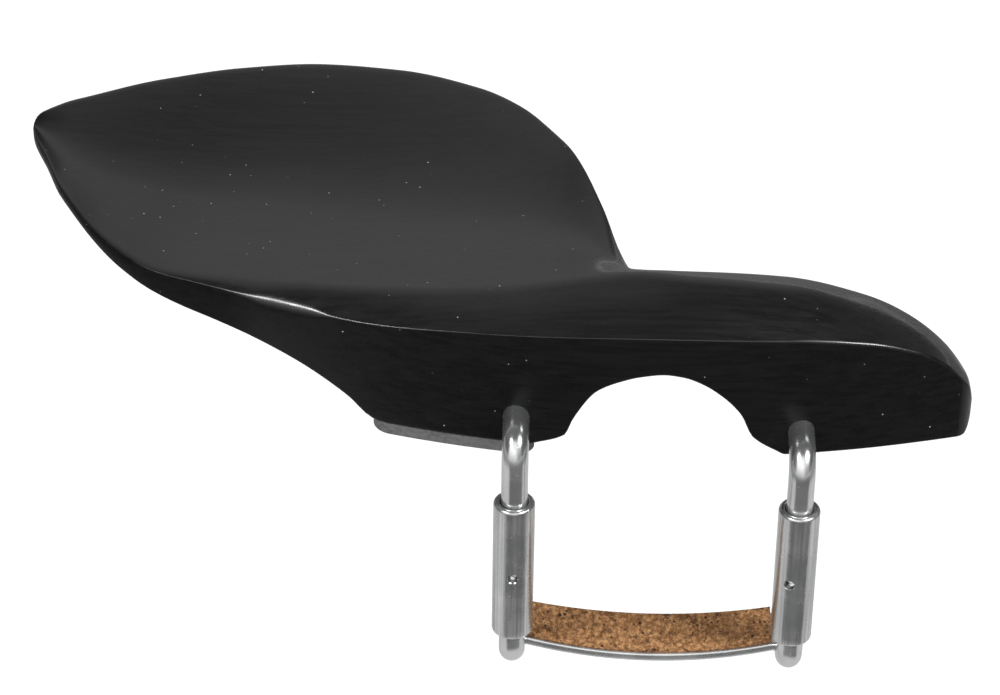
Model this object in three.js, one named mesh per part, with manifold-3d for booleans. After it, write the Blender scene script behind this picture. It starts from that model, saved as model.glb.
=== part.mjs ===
// Violin chin rest with a two-barrel clamp.
//
// Frame: millimetres. +X runs to the right along the violin's lower edge, +Y towards the
// scroll, +Z up out of the top plate. The origin is where the violin's centre line crosses
// the edge of the top plate, on the plate's surface, so the foot pads stand on z = 0.
import * as THREE from 'three';
import { mergeVertices } from 'three/addons/utils/BufferGeometryUtils.js';
import Module from 'manifold-3d';

const wasm = await Module();
wasm.setup();

// ---- driving dimensions ---------------------------------------------------------------
const GAP = 0.3;                  // clearance that solids keep where they would touch
const EDGE_RADIUS = 120;          // plan radius of the violin's edge, which the front follows

const LEG_X = 17;                 // half the spacing of the clamp's two legs
const LEG_Y = -4.5;               // the legs stand this far in front of the violin's edge
const ROD_RADIUS = 1.6;
const LEFT_HOOK_Z = 5.6;          // height at which each upper hook enters the wood
const RIGHT_HOOK_Z = 4.4;
const HOOK_BEND = 3.0;            // centre-line radius of the upper bend
const HOOK_DEPTH = 11;            // length of hook buried in the wood
const HOOK_ENGAGED = 4.2;         // length of upper rod inside its barrel

const BARREL_RADIUS = 2.5;
const BARREL_BORE = 1.8;
const BARREL_TOP = -2.8;
const BARREL_LENGTH = 19.3;
const BARREL_CHAMFER = 0.45;
const KEY_HOLE_RADIUS = 0.65;
const KEY_HOLE_DROP = 9.9;        // key hole's distance below the barrel's top
const RIGHT_KEY_TURN = -0.33;     // the right barrel stands turned by this angle, radians

const LOWER_ENGAGED = 14.4;       // length of lower rod inside its barrel when closed
const LOWER_BEND = 2.5;
const ROD_STEPS = 26;             // rings along each rod's path
const FOOT_ROD_Z = -26.5;         // centre line of the lower rods' feet
const FOOT_ROD_END = 3.8;         // the feet run back to this y

const PLATE_HALF = 15.1;          // half length of the bracket plate, between the feet
const PLATE_TOP = -25.3;          // top of the plate at its ends
const PLATE_THICKNESS = 1.2;
const PLATE_SAG = 1.2;            // how far the plate bows down at the middle
const CORK_THICKNESS = 0.9;
const CORK_INSET = 0.25;          // the cork stays this far inside the plate's edges
const PLATE_FRONT = [-2.4, -3.5]; // y of the front edge at the ends and at the middle
const PLATE_BACK = [4.0, 3.5];

const ROD_SIDES = 16;
const BARREL_SIDES = 32;

// ---- chin plate: the wood's outline and heights ------------------------------------------
const LEFT_TIP = -79.5;
const RIGHT_TIP = 37.9;
const LEFT_TIP_Y = 43.5;
const RIGHT_TIP_Y = 8.4;
const LEFT_TIP_ROUND = 5;         // length over which each tip's plan outline rounds off
const RIGHT_TIP_ROUND = 1.8;

// Each profile lists [x, value] and is read as one smooth curve.
const FRONT_RIM_Y = [[-80, 38], [-77, 34.5], [-74, 28.5], [-70, 22.5], [-66, 18.4], [-62, 15.6]];
const FRONT_Z = [[-80, 19.7], [-74, 18.8], [-68, 17], [-60, 15.7], [-50, 15.5], [-38, 15.5],
  [-22, 16.7], [0, 17.8], [15, 17.3], [24, 16.2], [30, 14.4], [34, 11.8], [37, 8.2], [38.4, 5]];
const FRONT_BOTTOM_Z = [[-80, 18.2], [-74, 17.3], [-66, 14.1], [-58, 11.6], [-49, 9.6],
  [-43.5, 7.8], [-37.5, 4.5], [-34.6, 2], [-33.2, 1.6], [-15, 1.6], [0, 1.5], [15, 0.9],
  [38.4, 0.9]];
const RIDGE_SETBACK = [[-80, 0.5], [-58, 0.9], [-50, 2], [-43, 3.2], [-31, 5.2], [-19, 7], [-8, 8.8],
  [-3, 9.6], [4, 8], [20, 6.5], [32, 3.5], [38.4, 1.5]];
const RIDGE_Z = [[-80, 19.9], [-74, 19], [-68, 17.2], [-60, 15.9], [-50, 16.2], [-43, 17], [-31, 17.9],
  [-19, 19], [-8, 20.6], [-3, 21.1], [4, 21.5], [15, 20.5], [24, 17.6], [30, 14.8], [34, 12], [37, 8.3],
  [38.4, 5.1]];
const VALLEY_PLACE = [[-80, 0.45], [-20, 0.45], [-5, 0.55], [4, 0.6], [38.4, 0.6]];
const VALLEY_Z = [[-80, 19.4], [-74, 18], [-66, 16.3], [-54, 14.9], [-40, 14.9], [-26, 15.9],
  [-14, 17.4], [-6, 18.2], [4, 18.6], [15, 18], [24, 16], [30, 13.6], [34, 10.9], [37, 7.4],
  [38.4, 4.6]];
const BACK_Y = [[-80, 47], [-74, 49.2], [-64, 53.6], [-54, 57], [-44, 58.5], [-33.5, 57.4],
  [-23, 53.2], [-17.5, 48.6], [-12.5, 41], [-9.5, 35.3], [-7, 28.3], [-5, 21.2], [-3.4, 18],
  [-1, 17.2], [14, 18], [26, 17.4], [34, 14.6], [38.4, 11.6]];
const BACK_Z = [[-80, 20], [-64, 21], [-12, 21], [-7, 18.6], [-3.4, 16], [2, 15.2], [15, 14.8],
  [26, 12.8], [32, 10.2], [36, 7], [38.4, 4]];
const BACK_THICKNESS = [[-80, 1.5], [-72, 2.2], [-12, 2.4], [-3, 4.5], [2, 5.6], [26, 4.4], [34, 2.6],
  [38.4, 1]];
const UNDERSIDE_Z = [[-80, 18.1], [-74, 16], [-66, 12.8], [-54, 10], [-40, 9.2], [-24, 9.4],
  [-10, 9.8], [4, 9.8], [24, 9], [32, 7.6], [38.4, 2.6]];
const FOOT_DEPTH = [[-80, 0.8], [-60, 2], [-46, 4], [-37, 10], [-32, 13], [30, 13], [38.4, 8]];

// A section's points are placed at these fractions of the band in front of the ridge, the dish
// behind it, the underside and the heel.
const BAND_STEPS = [0, 0.35, 0.7];
const DISH_STEPS = [0, 0.08, 0.18, 0.3, 0.42, 0.54, 0.66, 0.78, 0.9, 1];
const UNDER_STEPS = [1, 0.8, 0.55, 0.3, 0];
const HEEL_STEPS = [0.6, 0.25, 0];
const FULL_SPAN = 12;             // sections shorter than this have their details scaled down
const RIM_INSET = 0.8;            // how far the back rim's corners are eased
const HEEL_LENGTH = 1.6;          // run of the slope from a foot up to the hollow underside
const LIP = 4;                    // least length of underside left behind a foot
const WALL_BULGE = 0.15;          // how far the front wall swells
const BAND_SWELL = 0.58;          // share of the band's rise reached half way up it
const LONGEST_SETBACK = 0.62;     // the ridge stays within this part of the section
const TIP_LEAST = 0.06;           // the tips' end faces keep this part of the section's length
const RIM_BLEND_X = -46;          // left of this the front leaves the violin's edge

// The arch over the tailpiece: a list of [x, z] from the left foot to the right foot.
const ARCH = [[-14.9, 1.7], [-11.2, 3.3], [-10.2, 5.8], [-7.5, 9.9], [-4.8, 11.4], [-2.4, 12.2],
  [0.4, 12.6], [2.6, 12.3], [4.8, 11.4], [7.3, 9.6], [9.7, 6.9], [11.2, 3.7], [14.9, 1]];
const ARCH_FRONT = -10;
const ARCH_BACK = 30;
const OVERCUT = 3;                // how far cutting tools reach out of the wood

// ---- pads ---------------------------------------------------------------------------
const PAD_CORNER = 2;             // plan radius of the pads' front corners
const LEFT_PAD = { from: -34.4, to: -14.8, inset: 0.1, depth: 12.4, top: 1.3 };
const RIGHT_PAD = { from: 15.4, to: 31.4, inset: 2.2, depth: 7.6, top: 0.6 };

const EBONY = { color: 0x262625, roughness: 0.42, metalness: 0 };
const NICKEL = { color: 0xc4c6c7, roughness: 0.22, metalness: 1 };
const CORK = { color: 0x8f6b43, roughness: 0.9, metalness: 0 };
const PAD = { color: 0x6d6e6c, roughness: 0.85, metalness: 0 };

// ---- curves -------------------------------------------------------------------------

/** Reads a list of [x, value] as a smooth curve that never overshoots its points. */
function profile(points) {
  const last = points.length - 1;
  const slopes = [];
  for (let i = 0; i < last; i += 1) {
    slopes.push((points[i + 1][1] - points[i][1]) / (points[i + 1][0] - points[i][0]));
  }
  const tangents = [slopes[0]];
  for (let i = 1; i < last; i += 1) {
    const product = slopes[i - 1] * slopes[i];
    tangents.push(product > 0 ? (2 * product) / (slopes[i - 1] + slopes[i]) : 0);
  }
  tangents.push(slopes[last - 1]);
  return (x) => {
    let i = 0;
    while (i < last - 1 && x > points[i + 1][0]) {
      i += 1;
    }
    const width = points[i + 1][0] - points[i][0];
    const t = Math.min(1, Math.max(0, (x - points[i][0]) / width));
    const rest = 1 - t;
    const start = points[i][1] * (1 + 2 * t) + tangents[i] * width * t;
    const end = points[i + 1][1] * (1 + 2 * rest) - tangents[i + 1] * width * rest;
    return start * rest * rest + end * t * t;
  };
}

/** The violin's edge in plan, seen from above. */
function edgeY(x) {
  return EDGE_RADIUS - Math.sqrt(EDGE_RADIUS * EDGE_RADIUS - x * x);
}

const frontRimY = profile([...FRONT_RIM_Y, [-54, edgeY(-54) - GAP],
  [RIM_BLEND_X, edgeY(RIM_BLEND_X)]]);
const frontZ = profile(FRONT_Z);
const frontBottomZ = profile(FRONT_BOTTOM_Z);
const ridgeSetback = profile(RIDGE_SETBACK);
const ridgeZ = profile(RIDGE_Z);
const valleyPlace = profile(VALLEY_PLACE);
const valleyZ = profile(VALLEY_Z);
const backY = profile(BACK_Y);
const backZ = profile(BACK_Z);
const backThickness = profile(BACK_THICKNESS);
const undersideZ = profile(UNDERSIDE_Z);
const footDepth = profile(FOOT_DEPTH);

/** Runs from 0 at a tip to 1 where its rounding ends, as a quarter circle does. */
function tipRound(distance, length) {
  const t = Math.min(1, Math.max(0, distance / length));
  return Math.sqrt(1 - (1 - t) * (1 - t));
}

/** Front and back of the wood in plan at one x. */
function planSpan(x) {
  const front = x < RIM_BLEND_X ? frontRimY(x) : edgeY(x);
  const left = tipRound(x - LEFT_TIP, LEFT_TIP_ROUND);
  const right = tipRound(RIGHT_TIP - x, RIGHT_TIP_ROUND);
  const round = Math.max(TIP_LEAST, Math.min(left, right));
  const tipY = x < 0 ? LEFT_TIP_Y : RIGHT_TIP_Y;
  return [tipY + (front - tipY) * round, tipY + (backY(x) - tipY) * round];
}

/** One closed section of the wood across y and z, as a list of points. */
function woodSection(x) {
  const [front, back] = planSpan(x);
  const span = back - front;
  const small = Math.min(1, span / FULL_SPAN);
  const ridge = front + Math.min(ridgeSetback(x), LONGEST_SETBACK * span);
  const valley = ridge + valleyPlace(x) * (back - ridge);
  const rim = back - RIM_INSET * small;
  const footBack = front + Math.min(footDepth(x), span - LIP * small);
  const heel = footBack + HEEL_LENGTH * small;
  const bottom = frontBottomZ(x);
  const band = profile([[front, frontZ(x)],
    [(front + ridge) / 2, frontZ(x) + BAND_SWELL * (ridgeZ(x) - frontZ(x))], [ridge, ridgeZ(x)]]);
  const dish = profile([[ridge, ridgeZ(x)], [valley, valleyZ(x)], [rim, backZ(x)]]);
  const under = profile([[footBack, bottom], [heel, undersideZ(x)],
    [(heel + rim) / 2, undersideZ(x)], [rim, backZ(x) - backThickness(x)]]);
  const curve = (shape, from, to, steps) => steps.map((step) => {
    const y = from + (to - from) * step;
    return [x, y, shape(y)];
  });
  return [
    ...curve(band, front, ridge, BAND_STEPS),
    ...curve(dish, ridge, rim, DISH_STEPS),
    [x, back, backZ(x) - backThickness(x) / 3],
    [x, back, backZ(x) - (backThickness(x) * 2) / 3],
    ...curve(under, heel, rim, UNDER_STEPS),
    ...curve(under, footBack, heel, HEEL_STEPS),
    [x, (front + footBack) / 2, bottom],
    [x, front, bottom],
    [x, front - WALL_BULGE * small, (bottom + frontZ(x)) / 2],
  ];
}

// ---- solids -------------------------------------------------------------------------

/** Skins closed sections that have the same number of points, with flat ends. */
function loft(sections) {
  const count = sections[0].length;
  const positions = sections.flat(2);
  const index = [];
  for (let s = 0; s < sections.length - 1; s += 1) {
    for (let p = 0; p < count; p += 1) {
      const a = s * count + p;
      const b = s * count + ((p + 1) % count);
      index.push(a, b + count, b, a, a + count, b + count);
    }
  }
  for (const section of [0, sections.length - 1]) {
    const outline = sections[section].map(([, y, z]) => new THREE.Vector2(y, z));
    const flip = THREE.ShapeUtils.isClockWise(outline) === (section === 0);
    const base = section * count;
    for (const [a, b, c] of THREE.ShapeUtils.triangulateShape(outline, [])) {
      index.push(base + a, base + (flip ? c : b), base + (flip ? b : c));
    }
  }
  const geometry = new THREE.BufferGeometry();
  geometry.setAttribute('position', new THREE.Float32BufferAttribute(positions, 3));
  geometry.setIndex(index);
  return outward(geometry);
}

/** Turns a closed geometry's faces outwards. */
function outward(geometry) {
  const p = geometry.attributes.position;
  const index = geometry.index.array;
  const [a, b, c] = [new THREE.Vector3(), new THREE.Vector3(), new THREE.Vector3()];
  let volume = 0;
  for (let i = 0; i < index.length; i += 3) {
    a.fromBufferAttribute(p, index[i]);
    b.fromBufferAttribute(p, index[i + 1]);
    c.fromBufferAttribute(p, index[i + 2]);
    volume += a.dot(b.cross(c));
  }
  if (volume < 0) {
    geometry.setIndex(Array.from(index).reverse());
  }
  return geometry;
}

/** Makes a manifold solid of a closed geometry. */
function solid(geometry) {
  const bare = geometry.clone();
  bare.deleteAttribute('normal');
  bare.deleteAttribute('uv');
  const merged = mergeVertices(bare, 1e-5);
  return new wasm.Manifold(new wasm.Mesh({
    numProp: 3,
    vertProperties: new Float32Array(merged.attributes.position.array),
    triVerts: new Uint32Array(merged.index.array),
  }));
}

/** Cuts tools out of a geometry. */
function cut(geometry, tools) {
  const result = tools.reduce((body, tool) => body.subtract(solid(tool)), solid(geometry));
  const mesh = result.getMesh();
  const out = new THREE.BufferGeometry();
  out.setAttribute('position', new THREE.BufferAttribute(new Float32Array(mesh.vertProperties), 3));
  out.setIndex(Array.from(mesh.triVerts));
  return out;
}

/** A round rod along a path of straight and curved pieces. */
function rod(curves) {
  const path = new THREE.CurvePath();
  curves.forEach((curve) => path.add(curve));
  const section = new THREE.Shape().absarc(0, 0, ROD_RADIUS, 0, 2 * Math.PI);
  return new THREE.ExtrudeGeometry(section, {
    steps: ROD_STEPS,
    curveSegments: ROD_SIDES / 2,
    bevelEnabled: false,
    extrudePath: path,
  });
}

/** A quarter bend in the y-z plane, as a curve from one point to another round a corner. */
function bend(from, corner, to) {
  const roundness = 0.5523;
  return new THREE.CubicBezierCurve3(
    from, from.clone().lerp(corner, roundness), to.clone().lerp(corner, roundness), to);
}

/** The list of x stations, closer together at the tips and over the notch. */
function woodStations() {
  const tipSteps = 7;
  const cupStep = 3;
  const bridgeStep = 2.2;
  const bridgeStart = -14;
  const leftEnd = LEFT_TIP + LEFT_TIP_ROUND;
  const rightEnd = RIGHT_TIP - RIGHT_TIP_ROUND;
  const inset = (i) => 1 - Math.cos((i / tipSteps) * (Math.PI / 2));
  const stations = [];
  for (let i = 0; i < tipSteps; i += 1) {
    stations.push(LEFT_TIP + LEFT_TIP_ROUND * inset(i));
  }
  for (let x = leftEnd; x < bridgeStart - cupStep / 2; x += cupStep) {
    stations.push(x);
  }
  for (let x = bridgeStart; x < rightEnd - bridgeStep / 2; x += bridgeStep) {
    stations.push(x);
  }
  for (let i = tipSteps; i >= 0; i -= 1) {
    stations.push(RIGHT_TIP - RIGHT_TIP_ROUND * inset(i));
  }
  return stations;
}

/** The arch as a tool that runs right through the wood, from ARCH_FRONT to ARCH_BACK. */
function archTool() {
  const outline = new THREE.Shape([
    new THREE.Vector2(ARCH[0][0], -OVERCUT),
    ...ARCH.map(([x, z]) => new THREE.Vector2(x, z)),
    new THREE.Vector2(ARCH[ARCH.length - 1][0], -OVERCUT),
  ]);
  const depth = ARCH_BACK - ARCH_FRONT;
  const tool = new THREE.ExtrudeGeometry(outline, { depth, bevelEnabled: false });
  tool.rotateX(Math.PI / 2);
  tool.translate(0, ARCH_BACK, 0);
  return tool;
}

/** The blind hole that one hook is screwed into. */
function hookHole(x, height) {
  const radius = ROD_RADIUS + GAP;
  const length = HOOK_DEPTH + GAP + OVERCUT;
  const hole = new THREE.CylinderGeometry(radius, radius, length, ROD_SIDES);
  hole.translate(x, edgeY(x) - OVERCUT + length / 2, height);
  return hole;
}

function chinPlate() {
  const block = loft(woodStations().map(woodSection));
  const tools = [archTool(), hookHole(-LEG_X, LEFT_HOOK_Z), hookHole(LEG_X, RIGHT_HOOK_Z)];
  return cut(block, tools);
}

function footPad(pad) {
  const steps = 24;
  const sections = [];
  for (let i = 0; i <= steps; i += 1) {
    const x = pad.from + ((pad.to - pad.from) * i) / steps;
    const end = Math.min(x - pad.from, pad.to - x);
    const corner = PAD_CORNER * (1 - tipRound(end, PAD_CORNER));
    const front = edgeY(x) + pad.inset + corner;
    const back = edgeY(x) + pad.inset + pad.depth;
    sections.push([[x, front, 0], [x, back, 0], [x, back, pad.top], [x, front, pad.top]]);
  }
  return loft(sections);
}

function upperHook(x, height) {
  const inWood = new THREE.Vector3(x, edgeY(x) + HOOK_DEPTH, height);
  const bendStart = new THREE.Vector3(x, LEG_Y + HOOK_BEND, height);
  const corner = new THREE.Vector3(x, LEG_Y, height);
  const bendEnd = new THREE.Vector3(x, LEG_Y, height - HOOK_BEND);
  const low = new THREE.Vector3(x, LEG_Y, BARREL_TOP - HOOK_ENGAGED);
  return rod([
    new THREE.LineCurve3(inWood, bendStart),
    bend(bendStart, corner, bendEnd),
    new THREE.LineCurve3(bendEnd, low),
  ]);
}

function lowerRod(x) {
  const bottom = BARREL_TOP - BARREL_LENGTH;
  const high = new THREE.Vector3(x, LEG_Y, bottom + LOWER_ENGAGED);
  const bendStart = new THREE.Vector3(x, LEG_Y, FOOT_ROD_Z + LOWER_BEND);
  const corner = new THREE.Vector3(x, LEG_Y, FOOT_ROD_Z);
  const bendEnd = new THREE.Vector3(x, LEG_Y + LOWER_BEND, FOOT_ROD_Z);
  const tail = new THREE.Vector3(x, FOOT_ROD_END, FOOT_ROD_Z);
  return rod([
    new THREE.LineCurve3(high, bendStart),
    bend(bendStart, corner, bendEnd),
    new THREE.LineCurve3(bendEnd, tail),
  ]);
}

/** A turnbuckle barrel hanging down from the origin, its key hole turned by an angle. */
function barrel(turn) {
  const bottom = -BARREL_LENGTH;
  const c = BARREL_CHAMFER;
  const outline = [
    [BARREL_BORE + c / 2, 0], [BARREL_BORE, -c / 2], [BARREL_BORE, bottom + c / 2],
    [BARREL_BORE + c / 2, bottom], [BARREL_RADIUS - c, bottom], [BARREL_RADIUS, bottom + c],
    [BARREL_RADIUS, -c], [BARREL_RADIUS - c, 0], [BARREL_BORE + c / 2, 0],
  ].map(([r, y]) => new THREE.Vector2(r, y));
  const tube = new THREE.LatheGeometry(outline, BARREL_SIDES);
  tube.rotateX(Math.PI / 2);
  const hole = new THREE.CylinderGeometry(
    KEY_HOLE_RADIUS, KEY_HOLE_RADIUS, 3 * BARREL_RADIUS, ROD_SIDES);
  hole.rotateZ(turn);
  hole.translate(0, 0, -KEY_HOLE_DROP);
  return cut(tube, [hole]);
}

/** A bowed strip between the feet. Its low and high are measured from the plate's top. */
function bowedStrip(half, low, high, inset) {
  const facets = 13;
  const sections = [];
  for (let i = 0; i <= facets; i += 1) {
    const x = half * ((2 * i) / facets - 1);
    const bow = 1 - (x / PLATE_HALF) ** 2;
    const front = PLATE_FRONT[0] + (PLATE_FRONT[1] - PLATE_FRONT[0]) * bow + inset;
    const back = PLATE_BACK[0] + (PLATE_BACK[1] - PLATE_BACK[0]) * bow - inset;
    const z = PLATE_TOP - PLATE_SAG * bow;
    sections.push([[x, front, z + low], [x, back, z + low], [x, back, z + high],
      [x, front, z + high]]);
  }
  return loft(sections);
}

// ---- assembly -----------------------------------------------------------------------

const part = new THREE.Group();

function add(name, geometry, finish, position = [0, 0, 0], parent = part) {
  const mesh = new THREE.Mesh(geometry, new THREE.MeshStandardMaterial(finish));
  mesh.name = name;
  mesh.position.set(...position);
  parent.add(mesh);
}

add('chin_plate', chinPlate(), EBONY);
add('left_foot_pad', footPad(LEFT_PAD), PAD);
add('right_foot_pad', footPad(RIGHT_PAD), PAD);
add('left_upper_hook', upperHook(-LEG_X, LEFT_HOOK_Z), NICKEL);
add('right_upper_hook', upperHook(LEG_X, RIGHT_HOOK_Z), NICKEL);
add('left_barrel', barrel(0), NICKEL, [-LEG_X, LEG_Y, BARREL_TOP]);
add('right_barrel', barrel(RIGHT_KEY_TURN), NICKEL, [LEG_X, LEG_Y, BARREL_TOP]);

const bracket = new THREE.Group();
part.add(bracket);
add('left_lower_rod', lowerRod(-LEG_X), NICKEL, [0, 0, 0], bracket);
add('right_lower_rod', lowerRod(LEG_X), NICKEL, [0, 0, 0], bracket);
add('bracket_plate', bowedStrip(PLATE_HALF, -PLATE_THICKNESS, 0, 0), NICKEL, [0, 0, 0], bracket);
add('cork_liner', bowedStrip(PLATE_HALF - CORK_INSET, GAP, GAP + CORK_THICKNESS, CORK_INSET), CORK,
  [0, 0, 0], bracket);

export default part;
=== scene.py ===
"""The looks of a violin chin rest with a two-barrel clamp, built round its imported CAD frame.

Lengths are millimetres in the CAD frame, and closed_mesh() turns them into metres. The
stage at the end is in metres, and so are the scales of the materials' patterns.
"""

import math

import bmesh
import bpy
import numpy as np
from mathutils import Matrix, Vector


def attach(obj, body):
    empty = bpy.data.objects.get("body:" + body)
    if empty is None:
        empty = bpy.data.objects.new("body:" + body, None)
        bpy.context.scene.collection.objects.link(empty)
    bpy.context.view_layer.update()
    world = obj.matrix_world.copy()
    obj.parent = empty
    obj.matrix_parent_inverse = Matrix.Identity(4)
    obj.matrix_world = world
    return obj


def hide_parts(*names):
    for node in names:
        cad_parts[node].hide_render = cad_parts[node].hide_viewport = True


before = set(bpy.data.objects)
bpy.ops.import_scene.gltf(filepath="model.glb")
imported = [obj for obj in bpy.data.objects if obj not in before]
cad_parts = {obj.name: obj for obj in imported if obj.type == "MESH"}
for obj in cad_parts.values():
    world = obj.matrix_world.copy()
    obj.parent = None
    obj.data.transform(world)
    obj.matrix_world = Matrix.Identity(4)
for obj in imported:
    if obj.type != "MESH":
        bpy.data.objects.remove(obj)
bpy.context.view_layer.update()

MM = 0.001

# ---- camera: the photograph's viewpoint -------------------------------------------------
CAMERA_AT = (-13.5, -341.8, 247.0)
CAMERA_TURN = math.radians(-0.93)     # to the left of straight ahead
CAMERA_DIP = math.radians(34.03)      # below the horizontal
CAMERA_ROLL = math.radians(0.85)
CAMERA_LENS = 126.65

# ---- the wood, as in the CAD ------------------------------------------------------------
EDGE_RADIUS = 120                     # the violin's edge in plan, which the front follows
LEFT_TIP, RIGHT_TIP = -79.5, 37.9
LEFT_TIP_Y, RIGHT_TIP_Y = 43.5, 8.4
LEFT_TIP_ROUND, RIGHT_TIP_ROUND = 5, 1.8
TIP_EASE, TIP_LEAST = 0.9, 0.2        # length over which the tips thin off, and how far
PLAN_LEAST = 0.06                     # the tips' least share of their full width in plan
RIM_BLEND_X = -46                     # left of this the front leaves the violin's edge
FULL_SPAN = 12                        # narrower sections have smaller corners
HEEL_LENGTH = 1.6
LIP = 4
WALL_BULGE = 0.15
LONGEST_SETBACK = 0.62                # the ridge's furthest place across a section
BAND_SWELL = 0.58
RIM_INSET = 0.8
STATION, FINE_STATION, FINE_HALF = 0.8, 0.4, 16     # steps along x, finer over the arch

FRONT_RIM_Y = [[-80, 38], [-77, 34.5], [-74, 28.5], [-70, 22.5], [-66, 18.4], [-62, 15.6]]
FRONT_Z = [[-80, 19.7], [-74, 18.8], [-68, 17], [-60, 15.7], [-50, 15.5], [-38, 15.5],
           [-22, 16.7], [0, 17.8], [15, 17.3], [24, 16.2], [30, 14.4], [34, 11.8], [37, 8.2],
           [38.4, 5]]
FRONT_BOTTOM_Z = [[-80, 18.2], [-74, 17.3], [-66, 14.1], [-58, 11.6], [-49, 9.6], [-43.5, 7.8],
                  [-37.5, 4.5], [-34.6, 2], [-33.2, 1.6], [-15, 1.6], [0, 1.5], [15, 0.9],
                  [38.4, 0.9]]
RIDGE_SETBACK = [[-80, 0.5], [-58, 0.9], [-50, 2], [-43, 3.2], [-31, 5.2], [-19, 7], [-8, 8.8],
                 [-3, 9.6], [4, 8], [20, 6.5], [32, 3.5], [38.4, 1.5]]
RIDGE_Z = [[-80, 19.9], [-74, 19], [-68, 17.2], [-60, 15.9], [-50, 16.2], [-43, 17],
           [-31, 17.9], [-19, 19], [-8, 20.6], [-3, 21.1], [4, 21.5], [15, 20.5], [24, 17.6],
           [30, 14.8], [34, 12], [37, 8.3], [38.4, 5.1]]
VALLEY_PLACE = [[-80, 0.45], [-20, 0.45], [-5, 0.55], [4, 0.6], [38.4, 0.6]]
VALLEY_Z = [[-80, 19.4], [-74, 18], [-66, 16.3], [-54, 14.9], [-40, 14.9], [-26, 15.9],
            [-14, 17.4], [-6, 18.2], [4, 18.6], [15, 18], [24, 16], [30, 13.6], [34, 10.9],
            [37, 7.4], [38.4, 4.6]]
BACK_Y = [[-80, 47], [-74, 49.2], [-64, 53.6], [-54, 57], [-44, 58.5], [-33.5, 57.4],
          [-23, 53.2], [-17.5, 48.6], [-12.5, 41], [-9.5, 35.3], [-7, 28.3], [-5, 21.2],
          [-3.4, 18], [-1, 17.2], [14, 18], [26, 17.4], [34, 14.6], [38.4, 11.6]]
BACK_Z = [[-80, 20], [-64, 21], [-12, 21], [-7, 18.6], [-3.4, 16], [2, 15.2], [15, 14.8],
          [26, 12.8], [32, 10.2], [36, 7], [38.4, 4]]
BACK_THICKNESS = [[-80, 1.5], [-72, 2.2], [-12, 2.4], [-3, 4.5], [2, 5.6], [26, 4.4], [34, 2.6],
                  [38.4, 1]]
UNDERSIDE_Z = [[-80, 18.1], [-74, 16], [-66, 12.8], [-54, 10], [-40, 9.2], [-24, 9.4],
               [-10, 9.8], [4, 9.8], [24, 9], [32, 7.6], [38.4, 2.6]]
FOOT_DEPTH = [[-80, 0.8], [-60, 2], [-46, 4], [-37, 10], [-32, 13], [30, 13], [38.4, 8]]
ARCH = [[-14.9, 1.7], [-11.2, 3.3], [-10.2, 5.8], [-7.5, 9.9], [-4.8, 11.4], [-2.4, 12.2],
        [0.4, 12.6], [2.6, 12.3], [4.8, 11.4], [7.3, 9.6], [9.7, 6.9], [11.2, 3.7], [14.9, 1]]

# Corner radii of the wood's section. CREASE and CREST vary along x, the rest don't.
CORNERS = {"rim": 1.1, "lip": 0.9, "heel": 0.5, "toe": 0.4}
CREASE = [[-80, 0.1], [-55, 0.12], [-51, 0.4], [-47, 1.2], [-42, 1.0], [-39, 0.2], [-22, 0.1],
          [10, 0.15], [20, 0.4], [38.4, 0.6]]
CREST = [[-80, 0.3], [-66, 0.5], [-56, 1], [-30, 1.1], [-8, 1.2], [4, 1.3], [38.4, 1.6]]
# Points on each piece of the section and on each corner between them.
POINTS = {"band": 20, "dish": 64, "edge": 6, "under": 26, "foot": 6, "wall": 20}
CORNER_POINTS = 6

# ---- the clamp, as in the CAD -----------------------------------------------------------
LEG_X, LEG_Y = 17, -4.5
ROD_RADIUS, ROD_END_ROUND = 1.6, 0.5
LEFT_HOOK_Z, RIGHT_HOOK_Z = 5.6, 4.4
HOOK_BEND, HOOK_DEPTH, HOOK_ENGAGED = 3.0, 11, 4.2
HOOK_FIT, HOOK_LEAD = 0.05, 3         # play round a hook in its hole, and the drill's lead
BARREL_RADIUS, BARREL_TOP, BARREL_LENGTH = 2.5, -2.8, 19.3
BARREL_MOUTH, BARREL_EDGE = 1.7, 0.42
KEY_HOLE_RADIUS, KEY_HOLE_DROP, KEY_HOLE_EASE = 0.65, 9.9, 0.08
RIGHT_KEY_TURN = -0.33
LOWER_ENGAGED, LOWER_BEND = 14.4, 2.5
FOOT_ROD_Z, FOOT_ROD_END = -26.5, 3.8
THREAD_PITCH, THREAD_DEPTH = 0.6, 0.28
PLATE_HALF, PLATE_TOP, PLATE_THICKNESS, PLATE_SAG = 15.1, -25.3, 1.2, 1.2
PLATE_FRONT, PLATE_BACK = (-2.4, -3.5), (4.0, 3.5)      # y at the ends and in the middle
PLATE_TUCK = 0.75                     # how far the plate's ends run into the rods' feet
PLATE_EDGE = 0.42                     # its corner radius
BRAZE_FROM, BRAZE_LENGTH = -1.9, 5.2
BRAZES = {"upper": (-25.28, 15.72, 0.34), "lower": (-26.62, 15.36, 0.28)}     # z, x, radius
CORK_TOP, CORK_INSET, CORK_END = 1.2, 0.3, 0.15
CORK_EDGE, CORK_CRUMBLE = 0.22, 0.03
PAD_CORNER = 2
LEFT_PAD = {"from": -34.4, "to": -14.8, "inset": 0.1, "depth": 12.4, "top": 1.62}
RIGHT_PAD = {"from": 15.4, "to": 31.4, "inset": 2.2, "depth": 7.6, "top": 0.92}


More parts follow.
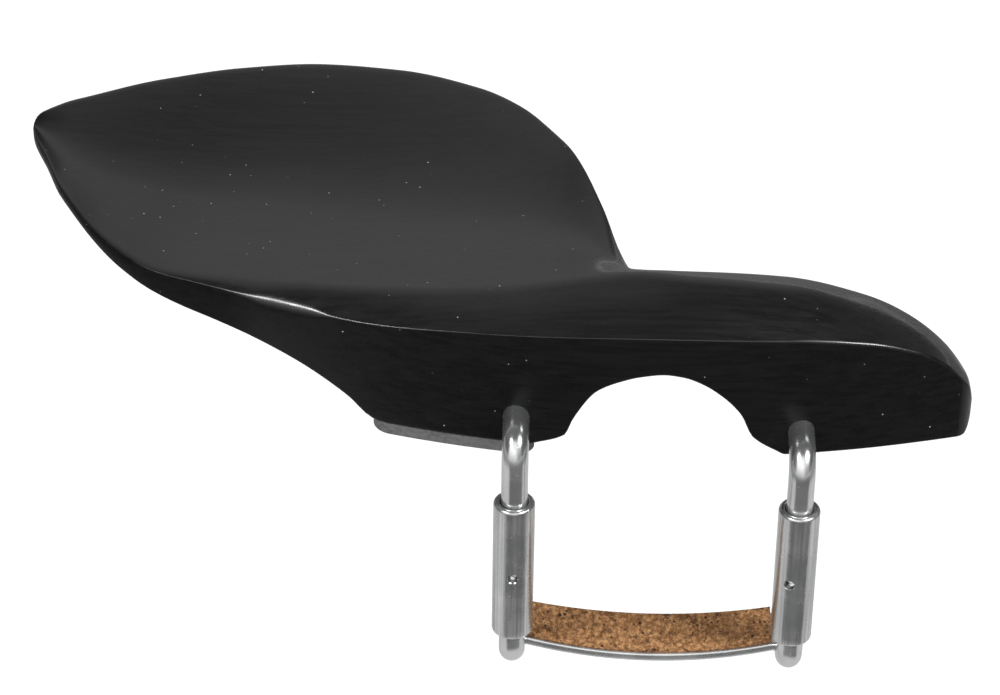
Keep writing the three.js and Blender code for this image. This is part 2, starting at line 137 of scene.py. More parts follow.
# ---- materials --------------------------------------------------------------------------
class Finish:
    """A procedural material under construction: its nodes, and links between them."""

    def __init__(self, name, **sockets):
        self.material = bpy.data.materials.new(name)
        self.material.use_nodes = True
        self.tree = self.material.node_tree
        self.shader = self.tree.nodes["Principled BSDF"]
        for socket, value in sockets.items():
            self.shader.inputs[socket.replace("_", " ")].default_value = value
        self.place = self.tree.nodes.new("ShaderNodeTexCoord").outputs["Object"]

    def node(self, kind, settings=None, **inputs):
        made = self.tree.nodes.new(kind)
        for key, value in (settings or {}).items():
            setattr(made, key, value)
        for key, value in inputs.items():
            socket = made.inputs[key.replace("_", " ")]
            if isinstance(value, bpy.types.NodeSocket):
                self.tree.links.new(value, socket)
            else:
                socket.default_value = value
        return made

    def stretched(self, scale, turn=(0, 0, 0)):
        """Object coordinates, in repeats for each metre along x, y and z."""
        return self.node("ShaderNodeMapping", Vector=self.place, Scale=scale,
                         Rotation=turn).outputs["Vector"]

    def noise(self, scale, detail=3.0, roughness=0.55, turn=(0, 0, 0)):
        return self.node("ShaderNodeTexNoise", Vector=self.stretched(scale, turn), Scale=1.0,
                         Detail=detail, Roughness=roughness).outputs["Fac"]

    def cells(self, scale, feature="F1", output="Distance"):
        return self.node("ShaderNodeTexVoronoi", {"feature": feature},
                         Vector=self.stretched(scale), Scale=1.0).outputs[output]

    def ramp(self, value, low, high, start=0.0, end=1.0):
        """Maps value from low..high to start..end, smoothly and clamped."""
        made = self.node("ShaderNodeMapRange", {"interpolation_type": "SMOOTHSTEP"},
                         Value=value)
        for key, number in (("From Min", low), ("From Max", high), ("To Min", start),
                            ("To Max", end)):
            made.inputs[key].default_value = number
        return made.outputs["Result"]

    def math(self, operation, a, b):
        made = self.node("ShaderNodeMath", {"operation": operation})
        for socket, value in zip(made.inputs, (a, b)):
            if isinstance(value, bpy.types.NodeSocket):
                self.tree.links.new(value, socket)
            else:
                socket.default_value = value
        return made.outputs["Value"]

    def mix(self, factor, a, b):
        made = self.node("ShaderNodeMix", {"data_type": "RGBA"})
        named = {s.identifier: s for s in made.inputs}
        for key, value in (("Factor_Float", factor), ("A_Color", a), ("B_Color", b)):
            if isinstance(value, bpy.types.NodeSocket):
                self.tree.links.new(value, named[key])
            else:
                named[key].default_value = value
        return [s for s in made.outputs if s.identifier == "Result_Color"][0]

    def set(self, socket, value):
        self.tree.links.new(value, self.shader.inputs[socket])

    def bump(self, height, distance, strength=1.0, onto=None):
        made = self.node("ShaderNodeBump", Height=height, Distance=distance * MM,
                         Strength=strength)
        if onto is not None:
            self.tree.links.new(onto, made.inputs["Normal"])
        return made.outputs["Normal"]


def grey(value):
    return (value, value, value, 1)


def part_of(f, vector, axis):
    """One axis of a vector socket."""
    return f.node("ShaderNodeSeparateXYZ", Vector=vector).outputs[axis]


def ebony_finish():
    """Oiled ebony: satin on top, duller down its sides and at its left rim, a little dusty."""
    f = Finish("ebony", Coat_Roughness=0.1, Specular_IOR_Level=0.4)
    streaks = f.noise((70, 1500, 1500), 4.0, 0.6)
    bands = f.noise((18, 160, 160), 3.0)
    pores = f.ramp(f.noise((300, 4200, 4200), 2.0), 0.34, 0.42, 1.0, 0.0)
    tone = f.math("ADD", f.math("MULTIPLY", streaks, 0.7), f.math("MULTIPLY", bands, 0.3))
    wood = f.mix(f.ramp(tone, 0.36, 0.62), (0.0046, 0.0048, 0.0047, 1),
                 (0.0068, 0.0071, 0.0069, 1))
    wood = f.mix(f.math("MULTIPLY", pores, 0.5), wood, (0.003, 0.003, 0.003, 1))
    specks = f.ramp(f.cells((640, 640, 640)), 0.035, 0.08, 1.0, 0.0)
    shade = f.node("ShaderNodeSeparateColor", Color=f.cells((640, 640, 640), "F1", "Color"))
    lit = f.ramp(shade.outputs["Green"], 0.25, 1.0)
    some = f.ramp(f.noise((90, 90, 90), 2.0), 0.40, 0.5)
    dust = f.math("MULTIPLY", f.math("MULTIPLY", specks, some), lit)
    f.set("Base Color", f.mix(f.math("MULTIPLY", dust, 0.8), wood, (0.5, 0.52, 0.5, 1)))
    facing_up = part_of(f, f.node("ShaderNodeNewGeometry").outputs["Normal"], "Z")
    rim = f.ramp(part_of(f, f.place, "X"), -0.054, -0.047, 0.3, 1.0)
    polish = f.math("MINIMUM", f.math("ADD", rim, f.ramp(facing_up, 0.8, 0.97)), 1.0)
    gloss = f.ramp(facing_up, 0.1, 0.62, 0.17, 0.46)
    f.set("Specular IOR Level", f.math("MULTIPLY", polish, gloss))
    oil = f.ramp(facing_up, 0.25, 0.6, 0.0, 0.24)
    f.set("Coat Weight", f.math("MULTIPLY", polish, oil))
    f.set("Roughness", f.ramp(streaks, 0.3, 0.7, 0.25, 0.33))
    fine = f.bump(streaks, 0.0015)
    fine = f.bump(pores, -0.004, onto=fine)
    f.set("Normal", f.bump(f.noise((35, 60, 60), 2.0), 0.015, onto=fine))
    return f.material


def plated_finish(name, along, roughness, streak=0.1):
    """Worn nickel plate. Its fine drawing lines run along z or y."""
    f = Finish(name, Metallic=0.92)     # a little dull, so that it also takes direct light
    lines = (3200, 3200, 45) if along == "z" else (3200, 45, 3200)
    drawn = f.noise(lines, 3.0, 0.6)
    wear = f.noise((230, 230, 230), 4.0, 0.6)
    plate = f.mix(f.ramp(wear, 0.35, 0.7), (0.62, 0.63, 0.63, 1), (0.75, 0.755, 0.75, 1))
    f.set("Base Color", f.mix(f.ramp(drawn, 0.4, 0.62, streak, 0.0), plate, grey(0.42)))
    f.set("Roughness", f.ramp(wear, 0.3, 0.75, roughness, roughness + 0.1))
    pits = f.ramp(f.cells((900, 900, 900)), 0.05, 0.11, 1.0, 0.0)
    fine = f.bump(drawn, 0.006)
    f.set("Normal", f.bump(pits, -0.02, onto=fine))
    return f.material


def cork_finish():
    """Pressed cork: grains, cracks between them and a few dark pores."""
    f = Finish("cork", Roughness=0.85, Specular_IOR_Level=0.25)
    grain = f.cells((1700, 1150, 1500), "F1", "Color")
    tint = f.node("ShaderNodeSeparateColor", Color=grain).outputs["Red"]
    mottle = f.noise((1900, 1300, 2000), 5.0, 0.7)
    seams = f.ramp(f.cells((1700, 1150, 1500), "DISTANCE_TO_EDGE"), 0.0, 0.12, 1.0, 0.0)
    broken = f.ramp(f.noise((800, 600, 800), 3.0, 0.6), 0.5, 0.6)
    dots = f.ramp(f.cells((1300, 900, 1200)), 0.14, 0.30, 1.0, 0.0)
    patches = f.ramp(f.noise((380, 300, 400), 3.0, 0.6), 0.48, 0.56)
    pores = f.math("MULTIPLY", dots, patches)
    cork = f.mix(tint, (0.175, 0.080, 0.030, 1), (0.29, 0.138, 0.056, 1))
    cork = f.mix(f.ramp(mottle, 0.46, 0.62), cork, (0.48, 0.26, 0.115, 1))
    cracks = f.ramp(f.noise((1500, 950, 1200), 4.0, 0.75), 0.39, 0.45, 0.75, 0.0)
    cork = f.mix(cracks, cork, (0.045, 0.020, 0.009, 1))
    cork = f.mix(f.ramp(mottle, 0.30, 0.44, 0.8, 0.0), cork, (0.085, 0.038, 0.014, 1))
    cork = f.mix(f.math("MULTIPLY", f.math("MULTIPLY", seams, broken), 0.6), cork,
                 (0.09, 0.040, 0.015, 1))
    f.set("Base Color", f.mix(f.math("MULTIPLY", pores, 0.92), cork, (0.015, 0.008, 0.004, 1)))
    rough = f.bump(mottle, 0.12)
    f.set("Normal", f.bump(pores, -0.15, onto=rough))
    return f.material


def pad_finish():
    """Dark fibrous felt."""
    f = Finish("foot_pad", Roughness=0.8, Specular_IOR_Level=0.3)
    fibre = f.noise((1500, 1500, 2600), 4.0, 0.65)
    blotch = f.noise((120, 120, 300), 3.0)
    base = f.mix(f.ramp(fibre, 0.3, 0.7), grey(0.07), grey(0.13))
    f.set("Base Color", f.mix(f.ramp(blotch, 0.4, 0.65, 0.0, 0.4), base, grey(0.15)))
    f.set("Normal", f.bump(fibre, 0.05))
    return f.material


# ---- mesh tools -------------------------------------------------------------------------
def closed_mesh(name, points, faces):
    """A mesh from millimetre points with its faces turned outwards."""
    mesh = bpy.data.meshes.new(name)
    mesh.from_pydata([tuple(MM * c for c in p) for p in points], [], faces)
    shape = bmesh.new()
    shape.from_mesh(mesh)
    bmesh.ops.recalc_face_normals(shape, faces=shape.faces)
    shape.to_mesh(mesh)
    shape.free()
    return mesh


def make_object(name, points, faces, finish, body, sharp=None):
    """A smooth-shaded closed object, riding on a CAD body. sharp is in degrees."""
    mesh = closed_mesh(name, points, faces)
    mesh.polygons.foreach_set("use_smooth", [True] * len(mesh.polygons))
    if sharp:
        mesh.set_sharp_from_angle(angle=math.radians(sharp))
    mesh.materials.append(finish)
    made = bpy.data.objects.new(name, mesh)
    bpy.context.scene.collection.objects.link(made)
    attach(made, body)
    return made


def skin(rings, closed_ends=True):
    """Points and faces of a tube of rings that have the same number of points."""
    count = len(rings[0])
    points = [tuple(p) for ring in rings for p in ring]
    faces = []
    for r in range(len(rings) - 1):
        for i in range(count):
            j = (i + 1) % count
            a, b = r * count, (r + 1) * count
            faces.append((a + i, a + j, b + j, b + i))
    if closed_ends:
        faces.append(tuple(range(count)))
        last = (len(rings) - 1) * count
        faces.append(tuple(range(last, last + count)))
    return points, faces


def cut_holes(made, tools, sharp):
    """Cuts closed tool objects out of a mesh object and removes the tools."""
    for tool in tools:
        change = made.modifiers.new("cut", "BOOLEAN")
        change.object = tool
        change.solver = "EXACT"
    bpy.context.view_layer.update()
    evaluated = made.evaluated_get(bpy.context.evaluated_depsgraph_get())
    cut = bpy.data.meshes.new_from_object(evaluated)
    made.modifiers.clear()
    made.data = cut
    for tool in tools:
        bpy.data.objects.remove(tool)
    cut.polygons.foreach_set("use_smooth", [True] * len(cut.polygons))
    cut.set_sharp_from_angle(angle=math.radians(sharp))


def spindle(stations, centre, sides):
    """A closed turned tool along y through centre. Its stations are [distance, radius]."""
    angles = np.linspace(0, 2 * math.pi, sides, endpoint=False)
    rings = []
    for distance, radius in stations:
        ring = []
        for a in angles:
            u, v = radius * math.cos(a), radius * math.sin(a)
            ring.append((centre[0] + u, centre[1] + distance, centre[2] + v))
        rings.append(ring)
    tool = bpy.data.objects.new("tool", closed_mesh("tool", *skin(rings)))
    bpy.context.scene.collection.objects.link(tool)
    return tool


# ---- curves -----------------------------------------------------------------------------
def profile(points):
    """A smooth curve through [x, value] points that never overshoots them."""
    xs, values = np.array(points, float).T
    slopes = np.diff(values) / np.diff(xs)
    tangents = np.concatenate([slopes[:1], np.zeros(len(xs) - 2), slopes[-1:]])
    for i in range(1, len(xs) - 1):
        product = slopes[i - 1] * slopes[i]
        if product > 0:
            tangents[i] = 2 * product / (slopes[i - 1] + slopes[i])

    def read(x):
        x = np.asarray(x, float)
        i = np.clip(np.searchsorted(xs, x) - 1, 0, len(xs) - 2)
        width = xs[i + 1] - xs[i]
        t = np.clip((x - xs[i]) / width, 0, 1)
        start = values[i] * (1 + 2 * t) + tangents[i] * width * t
        end = values[i + 1] * (3 - 2 * t) - tangents[i + 1] * width * (1 - t)
        return start * (1 - t) ** 2 + end * t ** 2

    return read


def edge_y(x):
    """The violin's edge in plan."""
    return EDGE_RADIUS - math.sqrt(EDGE_RADIUS ** 2 - x * x)


front_rim_y = profile(FRONT_RIM_Y + [[-54, edge_y(-54) - 0.3], [RIM_BLEND_X, edge_y(RIM_BLEND_X)]])
front_z = profile(FRONT_Z)
front_bottom_z = profile(FRONT_BOTTOM_Z)
ridge_setback = profile(RIDGE_SETBACK)
ridge_z = profile(RIDGE_Z)
valley_place = profile(VALLEY_PLACE)
valley_z = profile(VALLEY_Z)
back_y = profile(BACK_Y)
back_z = profile(BACK_Z)
back_thickness = profile(BACK_THICKNESS)
underside_z = profile(UNDERSIDE_Z)
foot_depth = profile(FOOT_DEPTH)
arch_z = profile(ARCH)
crease_radius = profile(CREASE)
crest_radius = profile(CREST)


def tip_round(distance, length):
    """A quarter circle: 0 at distance 0, and 1 from length on."""
    t = min(1.0, max(0.0, distance / length))
    return math.sqrt(1 - (1 - t) ** 2)


def plan_span(x):
    """Front and back of the wood in plan at one x."""
    front = float(front_rim_y(x)) if x < RIM_BLEND_X else edge_y(x)
    back = float(back_y(x))
    rounding = max(PLAN_LEAST, min(tip_round(x - LEFT_TIP, LEFT_TIP_ROUND),
                                   tip_round(RIGHT_TIP - x, RIGHT_TIP_ROUND)))
    tip = LEFT_TIP_Y if x < 0 else RIGHT_TIP_Y
    return tip + (front - tip) * rounding, tip + (back - tip) * rounding


def along(points, distances):
    """Points at given distances along a polyline."""
    steps = np.linalg.norm(np.diff(points, axis=0), axis=1)
    total = np.concatenate([[0], np.cumsum(steps)])
    return np.stack([np.interp(distances, total, points[:, k]) for k in (0, 1)], 1)


def length_of(points):
    return float(np.linalg.norm(np.diff(points, axis=0), axis=1).sum())


def rounded(pieces, radii, counts):
    """Joins curve pieces into one closed outline, rounding the corner before each piece."""
    bodies = []
    for i, piece in enumerate(pieces):
        size = length_of(piece)
        start = min(radii[i], 0.45 * size)
        end = min(radii[(i + 1) % len(pieces)], 0.45 * size)
        bodies.append(along(piece, np.linspace(start, size - end, counts[i])))
    outline = []
    for i, body in enumerate(bodies):
        following = bodies[(i + 1) % len(bodies)]
        corner = pieces[i][-1]
        t = np.linspace(0, 1, CORNER_POINTS + 2)[1:-1, None]
        curve = body[-1] * (1 - t) ** 2 + 2 * corner * t * (1 - t) + following[0] * t ** 2
        outline += [body, curve]
    return np.concatenate(outline)


# ---- the wood ---------------------------------------------------------------------------
def wood_outline(x):
    """The wood's closed outline across y and z at one x, arch included."""
    front, back = plan_span(x)
    span = back - front
    small = min(1.0, span / FULL_SPAN)
    ridge = front + min(float(ridge_setback(x)), LONGEST_SETBACK * span)
    valley = ridge + float(valley_place(x)) * (back - ridge)
    rim = back - RIM_INSET * small
    foot_back = front + min(float(foot_depth(x)), span - LIP * small)
    heel = foot_back + HEEL_LENGTH * small
    arch = float(arch_z(x)) if ARCH[0][0] <= x <= ARCH[-1][0] else -1.0
    bottom = max(float(front_bottom_z(x)), arch)
    low = max(float(back_z(x) - back_thickness(x)), arch)
    hollow = float(underside_z(x))
    low_z, high_z = float(front_z(x)), float(ridge_z(x))
    band = profile([[front, low_z], [(front + ridge) / 2, low_z + BAND_SWELL * (high_z - low_z)],
                    [ridge, high_z]])
    dish = profile([[ridge, high_z], [valley, float(valley_z(x))], [rim, float(back_z(x))]])
    under = profile([[foot_back, float(front_bottom_z(x))], [heel, hollow],
                     [(heel + rim) / 2, hollow], [rim, float(back_z(x) - back_thickness(x))]])
    band_y, dish_y = np.linspace(front, ridge, 60), np.linspace(ridge, back, 200)
    ups = np.linspace(back, foot_back, 120)
    wall_z = np.linspace(bottom, float(front_z(x)), 12)
    bulge = WALL_BULGE * small * np.sin(np.linspace(0, math.pi, 12))
    pieces = [
        np.stack([band_y, band(band_y)], 1),
        np.stack([dish_y, dish(dish_y)], 1),
        np.array([[back, float(back_z(x))], [back, low]]),
        np.stack([ups, np.maximum(under(ups), arch)], 1),
        np.array([[foot_back, bottom], [front, bottom]]),
        np.stack([front - bulge, wall_z], 1),
    ]
    pieces[3][0, 1] = low
    pieces[3][-1, 1] = bottom
    radii = [float(crease_radius(x)), float(crest_radius(x))]
    radii += [CORNERS[k] for k in ("rim", "lip", "heel", "toe")]
    counts = [POINTS[k] for k in ("band", "dish", "edge", "under", "foot", "wall")]
    return rounded(pieces, [radius * small for radius in radii], counts)


def wood_stations():
    """Where the wood's sections lie along x, closest at the two tips."""
    tips = 1 - np.cos(np.linspace(0, math.pi / 2, 26))
    left = LEFT_TIP + LEFT_TIP_ROUND * tips
    right = RIGHT_TIP - RIGHT_TIP_ROUND * tips[::-1]
    return np.concatenate([
        left,
        np.arange(left[-1] + STATION, -FINE_HALF, STATION),
        np.arange(-FINE_HALF + FINE_STATION, FINE_HALF - 0.3, FINE_STATION),
        np.arange(FINE_HALF + FINE_STATION, right[0] - 0.3, STATION),
        right])


def make_wood(finish):
    """The carved plate, with a hole for each hook."""
    rings = []
    for x in wood_stations():
        outline = wood_outline(float(x))
        tip = min(tip_round(x - LEFT_TIP, TIP_EASE), tip_round(RIGHT_TIP - x, TIP_EASE))
        ease = max(TIP_LEAST, tip)
        middle = outline[:, 1].mean()
        rings.append([(x, y, middle + (z - middle) * ease) for y, z in outline])
    points, faces = skin(rings)
    wood = make_object("chin_plate_wood", points, faces, finish, "rest")
    tools = []
    for x, z in ((-LEG_X, LEFT_HOOK_Z), (LEG_X, RIGHT_HOOK_Z)):
        hole = [[-HOOK_LEAD, ROD_RADIUS + HOOK_FIT], [HOOK_DEPTH, ROD_RADIUS + HOOK_FIT]]
        tools.append(spindle(hole, (x, edge_y(x), z), 64))
    cut_holes(wood, tools, 38)
    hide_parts("chin_plate")
    return wood


# ---- the pads ---------------------------------------------------------------------------
def make_pad(name, pad, finish):
    """A glued pad whose front follows the violin's edge."""
    rings = []
    low, high = 0.0, pad["top"]
    tips = PAD_CORNER * (1 - np.cos(np.linspace(0, math.pi / 2, 14)))
    for x in np.concatenate([pad["from"] + tips,
                             np.linspace(pad["from"], pad["to"], 50)[6:-6],
                             pad["to"] - tips[::-1]]):
        end = min(x - pad["from"], pad["to"] - x)
        corner = PAD_CORNER * (1 - tip_round(end, PAD_CORNER))
        front = edge_y(x) + pad["inset"] + corner
        back = edge_y(x) + pad["inset"] + pad["depth"] - 0.3 * corner
        pieces = [np.array(p, float) for p in (
            [[front, high], [back, high]], [[back, high], [back, low]],
            [[back, low], [front, low]], [[front, low], [front, high]])]
        outline = rounded(pieces, [0.05, 0.2, 0.25, 0.25], [16, 5, 16, 5])
        rings.append([(x, y, z) for y, z in outline])
    points, faces = skin(rings)
    made = make_object(name + "_sheet", points, faces, finish, "rest", 40)
    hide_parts(name)
    return made


# ---- rods and barrels -------------------------------------------------------------------
def bent_path(start, corner, end, bend, step=0.25):
    """Points in y and z from start to end with a round bend of that radius at the corner."""
    start, corner, end = (np.array(p, float) for p in (start, corner, end))
    into, out = (start - corner), (end - corner)
    into, out = into / np.linalg.norm(into), out / np.linalg.norm(out)
    centre = corner + bend * (into + out)
    turn = np.linspace(0, math.pi / 2, 28)[:, None]
    arc = centre - bend * (out * np.cos(turn) + into * np.sin(turn))
    first = np.linspace(start, arc[0], max(2, int(np.linalg.norm(start - arc[0]) / step)))
    last = np.linspace(arc[-1], end, max(2, int(np.linalg.norm(end - arc[-1]) / step)))
    return np.concatenate([first[:-1], arc, last[1:]])


def thread_cut(distance, turn, hand=1):
    """Depth of a vee thread at a distance along the rod and an angle round it."""
    phase = (distance / THREAD_PITCH + hand * turn / (2 * math.pi)) % 1.0
    return THREAD_DEPTH * (1 - abs(2 * phase - 1))


def make_rod(name, x, path, threaded, finish, body, sides=56, hand=1):
    """A round rod along a y-z path. threaded gives the [from, to] distances of its thread."""
    steps = np.linalg.norm(np.diff(path, axis=0), axis=1)
    total = np.concatenate([[0], np.cumsum(steps)])
    fine = THREAD_PITCH / 8
    places = [total[(total < threaded[0]) | (total > threaded[1])],
              np.arange(threaded[0], threaded[1], fine)]
    ends = ROD_END_ROUND * (1 - np.cos(np.linspace(0, math.pi / 2, 7)))
    places += [ends, total[-1] - ends]
    places = np.unique(np.round(np.clip(np.concatenate(places), 0, total[-1]), 4))
    centres = along(path, places)
    ahead = along(path, np.clip(places + 0.05, 0, total[-1]))
    behind = along(path, np.clip(places - 0.05, 0, total[-1]))
    tangents = ahead - behind
    tangents /= np.linalg.norm(tangents, axis=1)[:, None]
    angles = np.linspace(0, 2 * math.pi, sides, endpoint=False)
    rings = []
    for s, (y, z), (ty, tz) in zip(places, centres, tangents):
        near_end = min(s, total[-1] - s)
        reach = ROD_RADIUS - ROD_END_ROUND * (1 - tip_round(near_end, ROD_END_ROUND))
        fade = min(1.0, max(0.0, (s - threaded[0]) / 0.6), max(0.0, (threaded[1] - s) / 0.6))
        ring = []
        for a in angles:
            radius = reach
            if threaded[0] < s < threaded[1]:
                radius -= fade * thread_cut(s, a, hand)
            across, up = radius * math.cos(a), radius * math.sin(a)
            ring.append((x + across, y - tz * up, z + ty * up))
        rings.append(ring)
    points, faces = skin(rings)
    made = make_object(name + "_rod", points, faces, finish, body, 42)
    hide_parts(name)
    return made


def make_barrel(name, x, key_turn, finish, body):
    """A turnbuckle barrel with a cross hole for its key."""
    bottom = -BARREL_LENGTH
    outside = []
    for turn in np.linspace(0, math.pi / 2, 7):
        outside.append([BARREL_RADIUS - BARREL_EDGE + BARREL_EDGE * math.sin(turn),
                        -BARREL_EDGE + BARREL_EDGE * math.cos(turn)])
    inside = [[BARREL_MOUTH, -0.3], [BARREL_MOUTH + 0.06, -0.12], [BARREL_MOUTH + 0.2, -0.02],
              [BARREL_MOUTH + 0.3, 0]]
    upper = inside + outside
    straight = [[BARREL_RADIUS, z] for z in np.linspace(-1.2, bottom + 1.2, 24)]
    lower = [[r, bottom - z] for r, z in reversed(upper)]
    outline = upper + straight + lower
    angles = np.linspace(0, 2 * math.pi, 96, endpoint=False)
    rings = [[(x + r * math.cos(a), LEG_Y + r * math.sin(a), BARREL_TOP + z) for a in angles]
             for r, z in outline]
    points, faces = skin(rings, closed_ends=False)
    count, last = len(angles), (len(rings) - 1) * len(angles)
    faces += [(i, last + i, last + (i + 1) % count, (i + 1) % count) for i in range(count)]
    made = make_object(name + "_tube", points, faces, finish, body)
    wide = KEY_HOLE_RADIUS + KEY_HOLE_EASE
    half_hole = [[BARREL_RADIUS - 0.12, KEY_HOLE_RADIUS], [BARREL_RADIUS - 0.02, wide],
                 [BARREL_RADIUS + 0.5, wide + 0.3]]
    hole = [[-distance, radius] for distance, radius in reversed(half_hole)] + half_hole
    tool = spindle(hole, (0, 0, 0), 40)
    place = Matrix.Translation(Vector((x, LEG_Y, BARREL_TOP - KEY_HOLE_DROP)) * MM)
    tool.matrix_world = place @ Matrix.Rotation(key_turn, 4, "Z")
    cut_holes(made, [tool], 35)
    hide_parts(name)
    return made


# ---- bracket ----------------------------------------------------------------------------
def bow(x):
    """1 in the middle of the plate and 0 at its ends."""
    return 1 - (x / PLATE_HALF) ** 2


def strip_rings(half, low, high, inset, radii, counts, stations):
    """Rings of a bowed strip whose low and high are measured from the plate's top."""
    rings = []
    for x in np.linspace(-half, half, stations):
        b = max(0.0, bow(x))
        front = PLATE_FRONT[0] + (PLATE_FRONT[1] - PLATE_FRONT[0]) * b + inset
        back = PLATE_BACK[0] + (PLATE_BACK[1] - PLATE_BACK[0]) * b - inset
        z = PLATE_TOP - PLATE_SAG * b
        pieces = [np.array(p, float) for p in (
            [[front, z + high], [back, z + high]], [[back, z + high], [back, z + low]],
            [[back, z + low], [front, z + low]], [[front, z + low], [front, z + high]])]
        rings.append([(x, y, w) for y, w in rounded(pieces, radii, counts)])
    return rings


def make_plate(finish):
    """The bowed plate under the violin."""
    rings = strip_rings(PLATE_HALF + PLATE_TUCK, -PLATE_THICKNESS, 0, 0, [PLATE_EDGE] * 4,
                        [24, 4, 24, 4], 90)
    points, faces = skin(rings)
    plate = make_object("bracket_plate_strip", points, faces, finish, "bracket", 50)
    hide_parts("bracket_plate")
    return plate


def make_braze(name, side, place, finish):
    """A slightly uneven bead along the joint between the plate and a rod's foot."""
    height, offset, radius = place
    random = np.random.default_rng(7 + side)
    angles = np.linspace(0, 2 * math.pi, 20, endpoint=False)
    rings = []
    lumps = random.uniform(0.85, 1.15, 9)
    for t in np.linspace(0, 1, 36):
        y = BRAZE_FROM + BRAZE_LENGTH * t
        swell = np.interp(t * 8, range(9), lumps) * math.sqrt(max(0.02, 1 - (2 * t - 1) ** 6))
        rings.append([(side * offset + radius * swell * math.cos(a), y,
                       height + radius * swell * math.sin(a)) for a in angles])
    points, faces = skin(rings)
    return make_object(name, points, faces, finish, "bracket", 60)


def make_cork(finish):
    """The cork liner: a strip with eased, slightly crumbly edges."""
    rings = strip_rings(PLATE_HALF - CORK_END, -0.02, CORK_TOP, CORK_INSET, [CORK_EDGE] * 4,
                        [60, 8, 20, 8], 240)
    random = np.random.default_rng(11)
    grid = np.array(rings)
    rough = random.normal(0, CORK_CRUMBLE, grid.shape[:2])
    rough = (rough + np.roll(rough, 1, 0) + np.roll(rough, 1, 1) + np.roll(rough, -1, 0)) / 2
    middle = grid.mean(axis=1, keepdims=True)
    outward = grid - middle
    outward[:, :, 0] = 0
    size = np.linalg.norm(outward, axis=2, keepdims=True)
    grid = grid - np.abs(rough[:, :, None]) * outward / size
    points, faces = skin(grid.tolist())
    cork = make_object("cork_strip", points, faces, finish, "bracket", 55)
    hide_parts("cork_liner")
    return cork


# ---- the object -------------------------------------------------------------------------
ebony = ebony_finish()
plated = plated_finish("plated_rod", "z", 0.18)
plated_flat = plated_finish("plated_plate", "y", 0.24)
plated_tube = plated_finish("plated_barrel", "z", 0.22, 0.75)
cork_brown = cork_finish()
pad_grey = pad_finish()

FINISHES = {"ebony": ebony, "foot_pad": pad_grey, "plated_rod": plated,
            "plated_barrel": plated_tube, "cork": cork_brown}

make_wood(ebony)
make_pad("left_foot_pad", LEFT_PAD, pad_grey)
make_pad("right_foot_pad", RIGHT_PAD, pad_grey)

for side, hook_z, name in ((-1, LEFT_HOOK_Z, "left"), (1, RIGHT_HOOK_Z, "right")):
    leg = side * LEG_X
    hook = bent_path((edge_y(leg) + HOOK_DEPTH - 0.3, hook_z), (LEG_Y, hook_z),
                     (LEG_Y, BARREL_TOP - HOOK_ENGAGED), HOOK_BEND)
    hook_size = length_of(hook)
    make_rod(name + "_upper_hook", leg, hook, [hook_size - HOOK_ENGAGED + 0.4, hook_size - 0.2],
             plated, "rest")
    lower_top = BARREL_TOP - BARREL_LENGTH + LOWER_ENGAGED
    lower = bent_path((LEG_Y, lower_top), (LEG_Y, FOOT_ROD_Z), (FOOT_ROD_END, FOOT_ROD_Z),
                      LOWER_BEND)
    make_rod(name + "_lower_rod", leg, lower, [0.2, LOWER_ENGAGED - 0.5], plated, "bracket",
             hand=-1)
    make_barrel(name + "_barrel", leg, 0 if side < 0 else RIGHT_KEY_TURN, plated_tube,
                name + "_barrel")
    for level, place in BRAZES.items():
        make_braze(f"{name}_braze_{level}", side, place, plated_flat)

make_plate(plated_flat)
make_cork(cork_brown)

# The CAD nodes get the finish of their slot.
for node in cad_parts.values():
    for place in node.material_slots:
        for slot_name, finish in FINISHES.items():
            if place.material and slot_name in place.material.name:
                place.material = finish


# ---- stage, in metres -------------------------------------------------------------------
FLOOR_Z = -0.45
CARD_Z = -0.125                       # cards under the object that only its gloss sees
# Each card's drop, inner and outer radius, first and last angle, and colour.
CARDS = {"grey_card": (0.003, 0.0, 0.7, -180, 180, 0.55),
         "dark_card": (0.0, 0.10, 0.65, -48, 66, 0.07),
         "far_card": (0.002, 0.32, 3.0, -180, 180, 0.2)}


def ring_card(name, z, inner, outer, start, end, colour):
    """A flat ring sector round the object. Its angles run from -Y towards +X, in degrees."""
    turns = np.radians(np.linspace(start, end, 49))
    points = [(r * math.sin(t), -r * math.cos(t), z) for r in (inner, outer) for t in turns]
    count = len(turns)
    faces = [(i, i + 1, count + i + 1, count + i) for i in range(count - 1)]
    mesh = bpy.data.meshes.new(name)
    mesh.from_pydata(points, [], faces)
    card = bpy.data.objects.new(name, mesh)
    bpy.context.scene.collection.objects.link(card)
    f = Finish(name, Roughness=0.9, Specular_IOR_Level=0.1)
    f.set("Base Color", f.mix(f.noise((3, 3, 3), 2.0), grey(colour), grey(colour * 0.96)))
    mesh.materials.append(f.material)
    return card


def hide_card(card):
    """The card is seen only by gloss: not by the camera, diffuse light or shadows."""
    card.visible_camera = False
    card.visible_diffuse = False
    card.visible_shadow = False


ring_card("floor", FLOOR_Z, 0.0, 60.0, -180, 180, 0.95)
for card_name, (drop, *shape) in CARDS.items():
    hide_card(ring_card(card_name, CARD_Z - drop, *shape))


def sun(name, azimuth, elevation, angle, strength):
    """A soft lamp far away. Its azimuth runs from -Y towards +X, in degrees."""
    azimuth, elevation = math.radians(azimuth), math.radians(elevation)
    towards = Vector((math.sin(azimuth) * math.cos(elevation),
                      -math.cos(azimuth) * math.cos(elevation), math.sin(elevation)))
    light = bpy.data.lights.new(name, "SUN")
    light.angle = math.radians(angle)
    light.energy = strength
    made = bpy.data.objects.new(name, light)
    made.rotation_euler = towards.to_track_quat("Z", "Y").to_euler()
    bpy.context.scene.collection.objects.link(made)


sun("left_front", -53, 45, 11, 1.4)
sun("right_front", 60, 46, 15, 2.5)


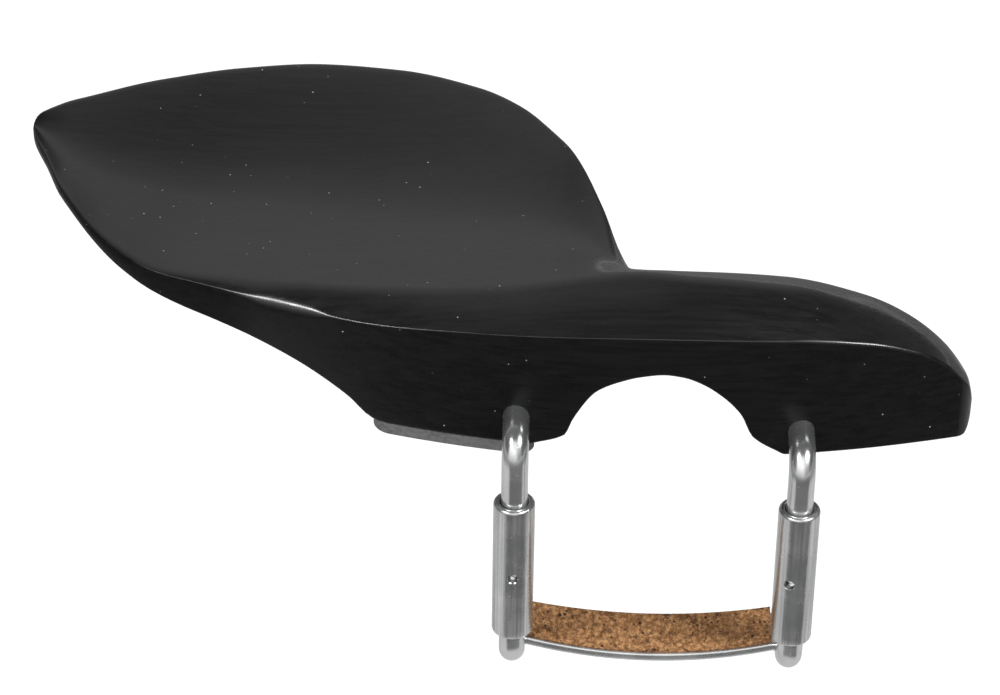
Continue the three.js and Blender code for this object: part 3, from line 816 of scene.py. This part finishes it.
def light_world():
    """A pale surround: bright behind the object and low in front, dim overhead and right."""
    world = bpy.data.worlds.new("studio")
    world.use_nodes = True
    tree = world.node_tree

    def ramp(source, low, high, start, end):
        node = tree.nodes.new("ShaderNodeMapRange")
        node.interpolation_type = "SMOOTHSTEP"
        for key, value in (("From Min", low), ("From Max", high), ("To Min", start),
                           ("To Max", end)):
            node.inputs[key].default_value = value
        tree.links.new(source, node.inputs["Value"])
        return node.outputs["Result"]

    def combine(operation, a, b):
        node = tree.nodes.new("ShaderNodeMath")
        node.operation = operation
        tree.links.new(a, node.inputs[0])
        tree.links.new(b, node.inputs[1])
        return node.outputs["Value"]

    place = tree.nodes.new("ShaderNodeTexCoord")
    split = tree.nodes.new("ShaderNodeSeparateXYZ")
    tree.links.new(place.outputs["Generated"], split.inputs["Vector"])
    back = ramp(split.outputs["Y"], 0.1, 0.65, 0.08, 0.50)
    front = ramp(split.outputs["Y"], -0.62, -0.42, 1.3, 0.0)
    low = ramp(split.outputs["Z"], 0.05, 0.5, 0.55, 1.0)
    right = ramp(split.outputs["X"], 0.05, 0.5, 1.0, 0.35)
    strength = combine("MULTIPLY", combine("MULTIPLY", combine("ADD", back, front), low), right)
    background = tree.nodes["Background"]
    tree.links.new(strength, background.inputs["Strength"])
    background.inputs["Color"].default_value = (1, 1, 1, 1)
    bpy.context.scene.world = world


light_world()
bpy.context.scene.view_settings.view_transform = "Standard"


# ---- camera -----------------------------------------------------------------------------
def aim_camera():
    """The camera, turned, dipped and then rolled about its own line of sight."""
    turn, dip, roll = CAMERA_TURN, CAMERA_DIP, CAMERA_ROLL
    ahead = Vector((math.sin(turn) * math.cos(dip), math.cos(turn) * math.cos(dip),
                    -math.sin(dip)))
    right = Vector((math.cos(turn), -math.sin(turn), 0))
    up = right.cross(ahead)
    right, up = (math.cos(roll) * right + math.sin(roll) * up,
                 math.cos(roll) * up - math.sin(roll) * right)
    data = bpy.data.cameras.new("camera")
    data.sensor_width = 36
    data.lens = CAMERA_LENS
    data.clip_start = 0.01
    camera = bpy.data.objects.new("camera", data)
    axes = Matrix((right, up, -ahead)).transposed().to_4x4()
    camera.matrix_world = Matrix.Translation(Vector(CAMERA_AT) * MM) @ axes
    bpy.context.scene.collection.objects.link(camera)
    bpy.context.scene.camera = camera


aim_camera()
